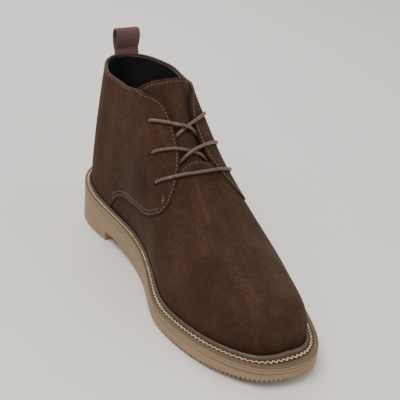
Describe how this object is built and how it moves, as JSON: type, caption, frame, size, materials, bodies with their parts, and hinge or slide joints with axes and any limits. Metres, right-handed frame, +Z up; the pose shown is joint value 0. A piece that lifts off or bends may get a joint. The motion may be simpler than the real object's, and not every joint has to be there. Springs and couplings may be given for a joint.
{
  "type": "suede chukka boot",
  "caption": "Ankle-high laced suede boot with open quarters over a plain vamp, a tongue, a storm welt, a heel pull loop and a thick moulded sole with a low heel",
  "frame": {"origin": "on the floor at the middle of the sole's length and width", "axes": "+X towards the toe, +Y towards the outer (lateral) side of the left foot, +Z up"},
  "size_m": [0.3, 0.1121, 0.1586],
  "materials": {
    "outsole": "matt tan moulded rubber",
    "welt": "satin taupe-brown welt",
    "insole": "dark smooth leather",
    "upper": "napped dark brown suede",
    "tongue": "napped dark brown suede",
    "pull_loop": "ribbed purple-brown webbing",
    "lace_top": "round waxed mauve-brown cord",
    "lace_middle": "round waxed mauve-brown cord",
    "lace_bottom": "round waxed mauve-brown cord"
  },
  "bodies": {
    "root": {"outsole": "outsole", "welt": "welt", "insole": "insole", "upper": "upper", "tongue": "tongue", "pull_loop": "pull_loop", "lace_top": "lace_top", "lace_middle": "lace_middle", "lace_bottom": "lace_bottom"}
  },
  "joints": []
}
